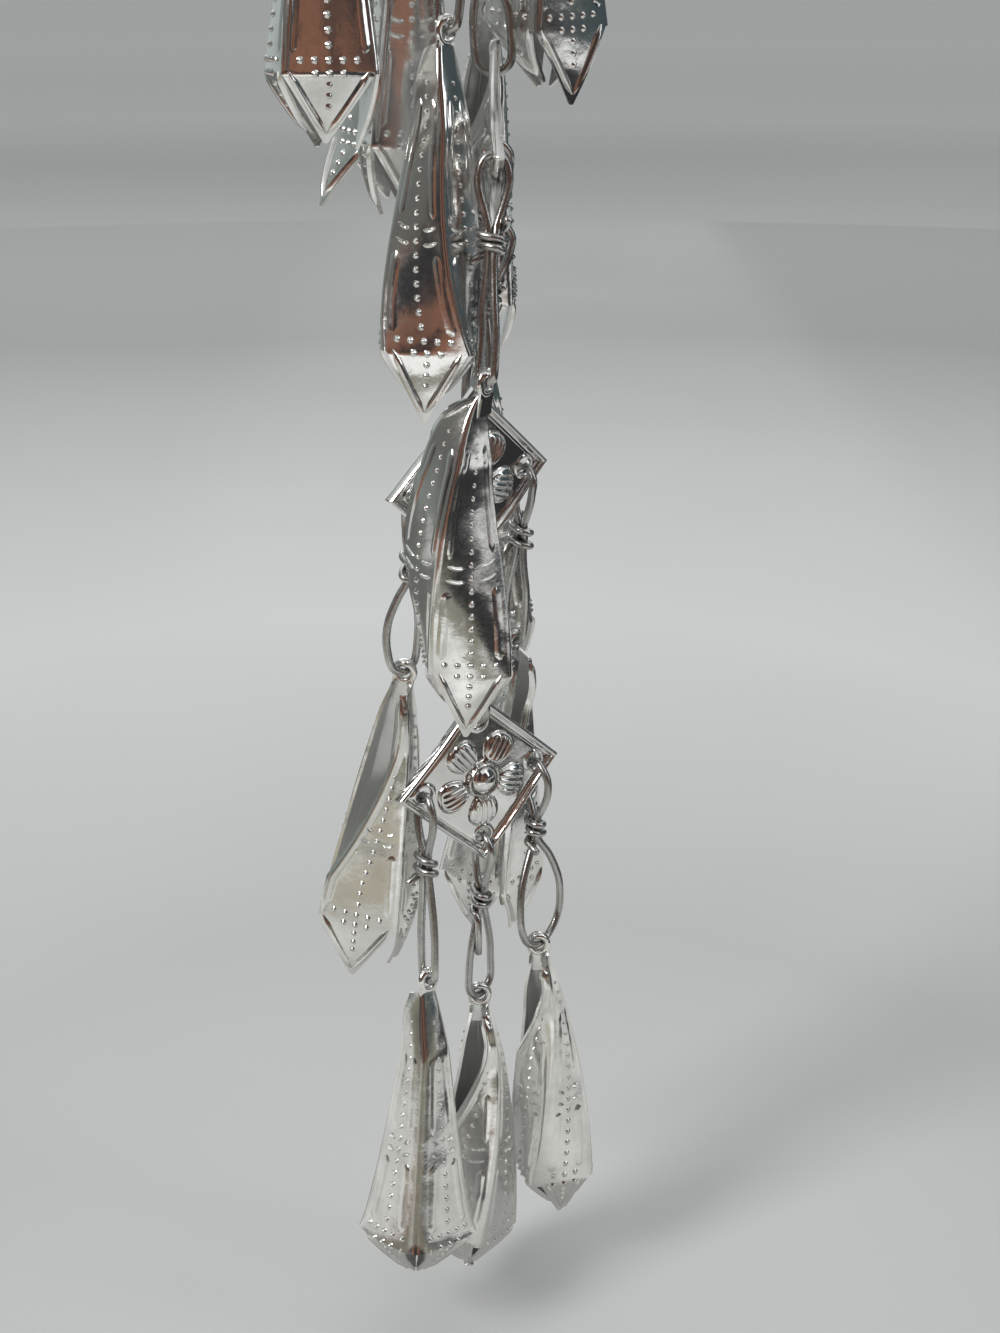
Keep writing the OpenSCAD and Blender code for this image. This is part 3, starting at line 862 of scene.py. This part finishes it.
def make_plate(i, material):
    """One stamped plate: rim, flower, corner holes, and a back that follows its warp."""
    x, y, edge = plate_grid(PLATE_CELLS[i - 1])
    rim, groove, lip = edge_relief(x, y, edge)
    warp = plate_warp(x, y, random.Random(7 + i))
    top = PLATE_T / 2 + np.maximum(rim, flower_relief(x, y)) + groove + lip + warp
    bottom = -PLATE_T / 2 + warp
    quads = plate_quads(x, y)
    used = sorted({v for f in quads for v in f})
    number = {v: k for k, v in enumerate(used)}
    quads = [tuple(number[v] for v in f) for f in quads]
    # The plate stands upright, and its front faces -Y
    front, back = (
        np.stack([x.ravel()[used], -side.ravel()[used], y.ravel()[used]], axis=-1) for side in (top, bottom)
    )
    shape = Shape(lambda points: points @ plate_turn(i).T + np.array(PLATES[i - 1].place, float))
    shape.add(*closed_sheet(front, back, quads))
    shape.piece(f"flower_plate_{i}", material, f"plate_{i}", sharp=60)


# Links

def loop_outline(w, length):
    """Half of a loop from its round bend to the waist: half width and depth."""
    bend = [(w * math.sin(math.radians(a)), 1.1 * w * (1 - math.cos(math.radians(a)))) for a in (35, 70)]
    return bend + [(w, 0.35 * length), (0.88 * w, 0.58 * length), (0.55 * w, 0.82 * length)]


def near_turn(a, b):
    """Brings the lower loop's turn within a quarter turn of the upper one's."""
    return a - 180 * round((a - b) / 180)


def link_ends(link):
    """Where a link starts and ends, and the turns of its upper and lower loop."""
    if link.upper_plate:
        start = plate_hole(link.upper_plate, link.upper_end)
        upper_turn = PLATES[link.upper_plate - 1].turns[2] + 90
    else:
        start, upper_turn = EYELETS[link.upper_end - 1]
    if link.lower_plate:
        end = plate_hole(link.lower_plate, TOP)
        lower_turn = PLATES[link.lower_plate - 1].turns[2]
    else:
        end, lower_turn = DROPS[link.drop - 1].place, DROPS[link.drop - 1].turns[0]
    lower_turn = near_turn(lower_turn + 90 + link.extra_turn, upper_turn)
    return np.array(start, float), np.array(end, float), upper_turn, lower_turn


def loops_route(i, length, upper_turn, lower_turn, rng):
    """Points round both loops of a link and through its waist, with small bends of its own."""
    link = LINKS[i - 1]
    lower_l = length - UPPER_L - WAIST_L
    half = [(w, d, upper_turn) for w, d in loop_outline(link.upper_w, UPPER_L)]
    for f in (0, 0.5, 1):
        half.append((WAIST_W, UPPER_L + f * WAIST_L, upper_turn + f * (lower_turn - upper_turn)))
    half += [(w, length - d, lower_turn) for w, d in reversed(loop_outline(link.lower_w, lower_l))]
    there = [rot_z(t) @ (w, 0, -d) for w, d, t in half]
    back = [rot_z(t) @ (-w, 0, -d) for w, d, t in reversed(half)]
    wobble = [WOBBLE * np.array([rng.uniform(-1, 1), rng.uniform(-1, 1), 0]) for _ in there + back]
    route = [np.zeros(3)] + [p + w for p, w in zip(there, wobble)] + [np.array([0, 0, -length])]
    route += [p + w for p, w in zip(back, wobble[len(there):])]
    pushes = PUSHES.get(i, (0, 0, 0, 0))
    for p in route:
        depth = -p[2]
        upper = depth < UPPER_L
        part = depth / UPPER_L if upper else (depth - UPPER_L - WAIST_L) / lower_l
        push = pushes[(0 if upper else 2) + (p[0] > 0)]
        p[0] += push * math.sin(math.pi * min(max(part, 0), 1))
    return route


def wrap_path(i, upper_turn, lower_turn, rng):
    """Points of the wrapped turns about a link's waist, from the first cut end to the last."""
    end_l = LINKS[i - 1].end_l
    turns = 2.0 + rng.choice((0, 0.5))
    steps = int(22 * turns)
    coil = []
    for k in range(steps + 1):
        f = k / steps
        a = math.radians(360 * turns * f)
        drift = 0.1 * math.sin(6.3 * f + i)
        p = np.array([WRAP_OUT_W * math.cos(a), WRAP_OUT_D * math.sin(a), -UPPER_L - f * WAIST_L + drift])
        coil.append(rot_z(upper_turn + f * (lower_turn - upper_turn)) @ p)
    out_first = unit(coil[0] - coil[1])
    out_last = unit(coil[-1] - coil[-2])
    first_end = coil[0] + out_first + np.array([0, 0, 0.3])
    if end_l > CUT_L:
        # A long end hangs down beside the lower loop
        ends = ((0.6, 0.5), (0.7, end_l))
    else:
        ends = ((end_l, 0.3),)
    last_end = [coil[-1] + away * out_last - np.array([0, 0, down]) for away, down in ends]
    # The spline takes every other point of the coil, and always its last one
    last = [coil[-1]] if steps % 2 else []
    return spline([first_end] + coil[::2] + last + last_end, 2, False)


def make_link(i, material):
    """One link of bent wire, with its loops, the wrapped turns between them, and the cut ends."""
    start, end, upper_turn, lower_turn = link_ends(LINKS[i - 1])
    rng = random.Random(90 + i)
    length = float(np.linalg.norm(end - start))
    route = loops_route(i, length, upper_turn, lower_turn, rng)
    wrap = wrap_path(i, upper_turn, lower_turn, rng)
    turn = swing(end - start)
    shape = Shape(lambda points: points @ turn.T + start)
    shape.add(*tube(spline(route, 5, True), WIRE_R, 12, True))
    shape.add(*tube(wrap, WRAP_WIRE_R, 10, False))
    shape.piece(f"wire_link_{i}", material, f"link_{i}", sharp=60)


# Materials

def new_material(name, kind="ShaderNodeBsdfPrincipled"):
    """A material with one shader, and the calls that build its nodes."""
    material = bpy.data.materials.new(name)
    material.use_nodes = True
    nodes = material.node_tree.nodes
    nodes.clear()
    out = nodes.new("ShaderNodeOutputMaterial")
    shader = nodes.new(kind)
    material.node_tree.links.new(shader.outputs[0], out.inputs[0])
    return material, shader, Nodes(material.node_tree)


def rgba(colour):
    """A plain colour with its alpha. A socket stays as it is."""
    return (*colour, 1) if isinstance(colour, tuple) else colour


class Nodes:
    """Short calls for building a node tree, from sockets and plain values alike."""

    def __init__(self, tree):
        self.tree = tree

    def add(self, kind, **values):
        node = self.tree.nodes.new(kind)
        for key, value in values.items():
            if key in node.inputs:
                self.join(value, node.inputs[key])
            else:
                setattr(node, key, value)
        return node

    def join(self, value, socket):
        if isinstance(value, bpy.types.NodeSocket):
            self.tree.links.new(value, socket)
        else:
            socket.default_value = value

    def place(self):
        return self.add("ShaderNodeTexCoord").outputs["Object"]

    def split(self, vector):
        return self.add("ShaderNodeSeparateXYZ", Vector=vector).outputs

    def math(self, operation, a, b=0.0):
        node = self.tree.nodes.new("ShaderNodeMath")
        node.operation = operation
        self.join(a, node.inputs[0])
        self.join(b, node.inputs[1])
        return node.outputs[0]

    def times(self, a, b):
        return self.math("MULTIPLY", a, b)

    def length(self, x, y):
        return self.math("SQRT", self.math("ADD", self.times(x, x), self.times(y, y)))

    def ramp(self, value, low, high, out_low=0.0, out_high=1.0, smooth=True):
        node = self.tree.nodes.new("ShaderNodeMapRange")
        node.interpolation_type = "SMOOTHSTEP" if smooth else "LINEAR"
        for socket, v in zip(node.inputs[:5], (value, low, high, out_low, out_high)):
            self.join(v, socket)
        return node.outputs[0]

    def mix(self, factor, a, b):
        node = self.tree.nodes.new("ShaderNodeMix")
        node.data_type = "RGBA"
        self.join(factor, node.inputs[0])
        self.join(rgba(a), node.inputs[6])
        self.join(rgba(b), node.inputs[7])
        return node.outputs[2]

    def noise(self, place, scale, detail=2.0, rough=0.5):
        node = self.add("ShaderNodeTexNoise", Vector=place, Scale=scale, Detail=detail, Roughness=rough)
        return node.outputs["Fac"]

    def sheltered(self, reach, low, high, most):
        """How closed in a spot is by what lies within reach, from 0 in the open up to the given most."""
        near = self.add("ShaderNodeAmbientOcclusion", samples=6, Distance=reach)
        return self.ramp(near.outputs["AO"], low, high, most, 0.0)


def silver(name, clean, dull, rough, ripple, grain, tarnish, inside=0.0):
    """Silver with soft ripples, a fine worn grain, and darker metal in the relief's corners.

    Where inside is above 0, hollows are painted a pale dull grey that stands in for the light inside them,
    and scatter light more than they mirror it.
    """
    material, shader, n = new_material(name)
    place = n.place()
    cloud = n.noise(place, 260.0, 4.0, 0.6)
    speck = n.noise(place, 2600.0, 3.0, 0.65)
    waves = n.noise(place, 420.0, 1.5, 0.4)
    colour = n.mix(n.ramp(cloud, 0.35, 0.7), clean, dull)
    colour = n.mix(n.sheltered(0.7 * MM, 0.25, 0.85, tarnish), colour, (0.16, 0.15, 0.14))
    shader.inputs["Metallic"].default_value = 1.0
    if inside:
        # Painted light: the hollows, found by occlusion, are painted pale and made less metallic so that
        # they show light inside them
        hollow_painted_light = n.sheltered(9 * MM, 0.15, 0.55, inside)
        colour = n.mix(hollow_painted_light, colour, (0.8, 0.81, 0.8))
        n.join(n.math("SUBTRACT", 1.0, hollow_painted_light), shader.inputs["Metallic"])
    n.join(colour, shader.inputs["Base Color"])
    worn = n.math("ADD", n.times(cloud, 0.6), n.times(speck, 0.4))
    n.join(n.ramp(worn, 0.3, 0.7, *rough), shader.inputs["Roughness"])
    soft = n.add("ShaderNodeBump", Strength=ripple, Distance=0.25 * MM, Height=waves)
    fine = n.add("ShaderNodeBump", Strength=grain, Distance=0.03 * MM, Height=speck, Normal=soft.outputs[0])
    n.join(fine.outputs[0], shader.inputs["Normal"])
    return material


def make_materials():
    """The part's metals by their slots: each with its clean and dull colour and its range of roughness."""
    return {
        "stamped_sheet": silver(
            "stamped_silver", (0.88, 0.88, 0.86), (0.76, 0.76, 0.74), (0.1, 0.21),
            ripple=0.3, grain=0.3, tarnish=0.3, inside=0.85,
        ),
        "plate_sheet": silver(
            "plate_silver", (0.88, 0.88, 0.87), (0.78, 0.78, 0.77), (0.06, 0.15),
            ripple=0.12, grain=0.25, tarnish=0.45,
        ),
        "wire": silver(
            "wire_silver", (0.56, 0.56, 0.55), (0.42, 0.42, 0.41), (0.2, 0.34),
            ripple=0.15, grain=0.4, tarnish=0.4,
        ),
        "pin_metal": silver(
            "pin_silver", (0.78, 0.78, 0.76), (0.64, 0.64, 0.62), (0.2, 0.32),
            ripple=0.08, grain=0.08, tarnish=0.5,
        ),
    }


# Stage

def floor_material():
    """A pale sheet whose tone changes with the distance from the tassel: painted light and shade, with a
    painted shadow ring about the foot and a brighter far floor that makes up for the lights' falloff.
    """
    material, shader, n = new_material("pale_floor")
    place = n.place()
    x, y, _ = n.split(place)
    patch = n.noise(place, 6.0, 1.5)
    away = n.math("ADD", n.length(x, y), n.ramp(patch, 0.3, 0.7, -0.008, 0.008))
    places, tones = zip(*FLOOR_PAINTED_LIGHT_TONES)
    colours = [(0.975 * v, v, 0.995 * v) for v in tones]
    colour = colours[0]
    for k in range(1, len(places)):
        colour = n.mix(n.ramp(away, places[k - 1], places[k], smooth=False), colour, colours[k])
    n.join(colour, shader.inputs["Base Color"])
    shader.inputs["Roughness"].default_value = 0.8
    return material


def painted_reflection_floor_material():
    """A glowing disc that paints the lit floor as the metal sees it, a painted reflection: pale under the
    tassel, with a painted shadow right under the drops, bright in front and dark on the right.
    """
    material, shader, n = new_material("painted_reflection_floor", "ShaderNodeEmission")
    place = n.place()
    x, y, _ = n.split(place)
    away = n.length(x, y)
    patch = n.noise(place, 22.0, 2.5)
    # Where each tone begins and is full, by its place or its distance from the foot
    # Painted shadow of the drops on the mirrored floor
    painted_shadow_under_drops = n.ramp(away, 0.045, 0.02)
    bright = n.ramp(y, -0.1, -0.135)
    beige = n.times(n.ramp(x, -0.01, -0.035), n.times(n.ramp(y, -0.08, -0.1), n.ramp(away, 0.17, 0.145)))
    back_left = n.times(n.ramp(x, -0.04, -0.09), n.ramp(y, 0.04, 0.1))
    front = n.times(n.ramp(away, 0.25, 0.32), n.ramp(y, -0.03, -0.09))
    right = n.ramp(x, 0.092, 0.118)
    far_right = n.ramp(x, 0.42, 0.5)
    colour = n.mix(n.ramp(patch, 0.35, 0.65), (0.5, 0.5, 0.48), (0.68, 0.68, 0.665))
    for share, tone in (
        (painted_shadow_under_drops, (0.33, 0.33, 0.32)),
        (bright, (1.0, 1.0, 0.99)),
        (beige, (0.42, 0.385, 0.305)),
        (back_left, (0.145, 0.15, 0.142)),
        (front, BROWN),
        (right, DARK),
        (far_right, (0.9, 0.9, 0.89)),
    ):
        colour = n.mix(share, colour, tone)
    n.join(colour, shader.inputs["Color"])
    return material


def painted_reflection_screen_material():
    """Cloudy olive and beige that glows, as a painted reflection."""
    material, shader, n = new_material("painted_reflection_screen", "ShaderNodeEmission")
    cloud = n.noise(n.place(), 16.0, 2.0)
    colour = n.mix(n.ramp(cloud, 0.4, 0.62), (0.2, 0.19, 0.145), (0.42, 0.41, 0.36))
    n.join(colour, shader.inputs["Color"])
    return material


def stage_object(name, points, faces, material):
    """A mesh that is seen about the part and isn't part of it."""
    mesh = bpy.data.meshes.new(name)
    mesh.from_pydata(points, [], faces)
    mesh.materials.append(material)
    obj = new_object(name, mesh)
    return obj


def disc(name, radius, z, material):
    """A round floor about the tassel's foot."""
    steps = 64
    turns = [2 * math.pi * k / steps for k in range(steps)]
    points = [(0, 0, z)] + [(radius * math.cos(a), radius * math.sin(a), z) for a in turns]
    faces = [(0, 1 + k, 1 + (k + 1) % steps) for k in range(steps)]
    return stage_object(name, points, faces, material)


def make_screen():
    """A low glowing screen in front, a painted reflection which only the lowest drops mirror at eye level.
    """
    bearings = np.radians(np.linspace(*SCREEN_BEARINGS, 33))
    ring = [(SCREEN_R * math.sin(b), -SCREEN_R * math.cos(b)) for b in bearings]
    points = [(x, y, z) for z in SCREEN_Z for x, y in ring]
    return stage_object("screen", points, grid_faces(2, len(ring)), painted_reflection_screen_material())


def make_floor(lowest):
    """One floor for the camera, with painted light and shade, and a smaller glowing one that paints the lit
    floor's reflection, which only the metal mirrors, beside the room.
    """
    z = lowest - FLOOR_GAP
    seen = disc("floor", FLOOR_R, z, floor_material())
    seen.visible_glossy = False
    for mirrored in (disc("floor_near", MIRRORED_FLOOR_R, z, painted_reflection_floor_material()), make_screen()):
        mirrored.visible_camera = False
        mirrored.visible_diffuse = False
        mirrored.visible_shadow = False


def softbox(name, place, size, radiance, colour=(1, 1, 1)):
    """A rectangular light of an even radiance that faces the tassel's middle."""
    light = bpy.data.lights.new(name, "AREA")
    light.shape = "RECTANGLE"
    light.size, light.size_y = size
    light.energy = radiance * math.pi * size[0] * size[1]
    light.color = colour
    obj = new_object(name, light)
    direction = np.array(TASSEL_MIDDLE, float) - np.array(place, float)
    flat = math.hypot(direction[0], direction[1])
    obj.rotation_euler = (math.atan2(flat, -direction[2]), 0, math.atan2(-direction[0], direction[1]))
    obj.location = place
    obj.visible_camera = False
    return obj


def make_lights():
    softbox("key_light", (-0.55, -0.45, 0.45), (0.26, 0.32), 15.0, (1.0, 0.99, 0.97))
    top_light = softbox("top_light", (0.05, 0.0, 0.75), (0.9, 0.75), 1.1)
    # The flat head plate would mirror it as a plain white disc
    top_light.visible_glossy = False
    softbox("right_light", (0.75, -0.25, 0.35), (0.16, 0.6), 2.4, (0.97, 0.98, 1.0))
    softbox("back_light", (-0.1, 0.8, 0.35), (0.9, 0.3), 1.6)


def room_colour(n):
    """The tone of the mirrored room in each direction: its sides, and the ceiling above them."""
    direction = n.add("ShaderNodeTexCoord").outputs["Generated"]
    x, y, z = n.split(direction)
    # Bearing from the front, positive to the right, and height above the horizon, in degrees
    bearing = n.times(n.math("ARCTAN2", x, n.times(y, -1.0)), DEGREES)
    height = n.times(n.math("ARCSINE", z), DEGREES)
    # Brown and dark upright streaks in front
    stretched = n.add("ShaderNodeVectorMath", operation="MULTIPLY")
    n.join(direction, stretched.inputs[0])
    n.join((2.4, 2.4, 0.6), stretched.inputs[1])
    streak = n.noise(stretched.outputs[0], 1.7, 2.5)
    wall = n.mix(n.ramp(streak, 0.4, 0.55), BROWN, DARK)
    for begin, full, tone in ROOM_SIDES:
        wall = n.mix(n.ramp(bearing, begin, full), wall, tone)
    # The walls reach higher in front, and the ceiling is duller overhead
    wall_top = n.ramp(n.math("ABSOLUTE", bearing), 10, 26, 64.0, 40.0)
    ceiling = n.mix(n.ramp(height, 58, 70), CEILING, ZENITH)
    return n.mix(n.ramp(n.math("SUBTRACT", height, wall_top), -5, 7), wall, ceiling)


def make_world():
    """Plain grey for the camera and the floor, and a room of pale, brown and dark sides for the metal."""
    world = bpy.data.worlds.new("room")
    bpy.context.scene.world = world
    world.use_nodes = True
    tree = world.node_tree
    tree.nodes.clear()
    n = Nodes(tree)
    path = n.add("ShaderNodeLightPath")
    plain = n.mix(path.outputs["Is Camera Ray"], FLOOR_LIGHT, BEHIND)
    colour = n.mix(path.outputs["Is Glossy Ray"], plain, room_colour(n))
    background = n.add("ShaderNodeBackground", Color=colour)
    out = n.add("ShaderNodeOutputWorld")
    n.join(background.outputs[0], out.inputs[0])


def make_camera():
    """The photograph's view: from in front of the head, looking down along the tassel."""
    camera = bpy.data.cameras.new("camera")
    camera.sensor_width = 36
    camera.lens = CAMERA_LENS
    camera.clip_start = 0.01
    camera.clip_end = 50
    obj = new_object("camera", camera)
    obj.location = [v * MM for v in CAMERA_AT]
    obj.rotation_euler = (math.radians(90 - CAMERA_DOWN), 0, 0)
    bpy.context.scene.camera = obj


def main():
    materials = make_materials()
    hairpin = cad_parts["hairpin"]
    hairpin.data.materials.clear()
    hairpin.data.materials.append(materials["pin_metal"])
    for i in range(1, len(PLATES) + 1):
        make_plate(i, materials["plate_sheet"])
    for i in range(1, len(DROPS) + 1):
        make_drop(i, materials["stamped_sheet"])
    for i in range(1, len(LINKS) + 1):
        make_link(i, materials["wire"])
    make_floor(CAD_BOX[0][2])
    make_lights()
    make_world()
    make_camera()
    bpy.context.scene.view_settings.view_transform = "Standard"


main()
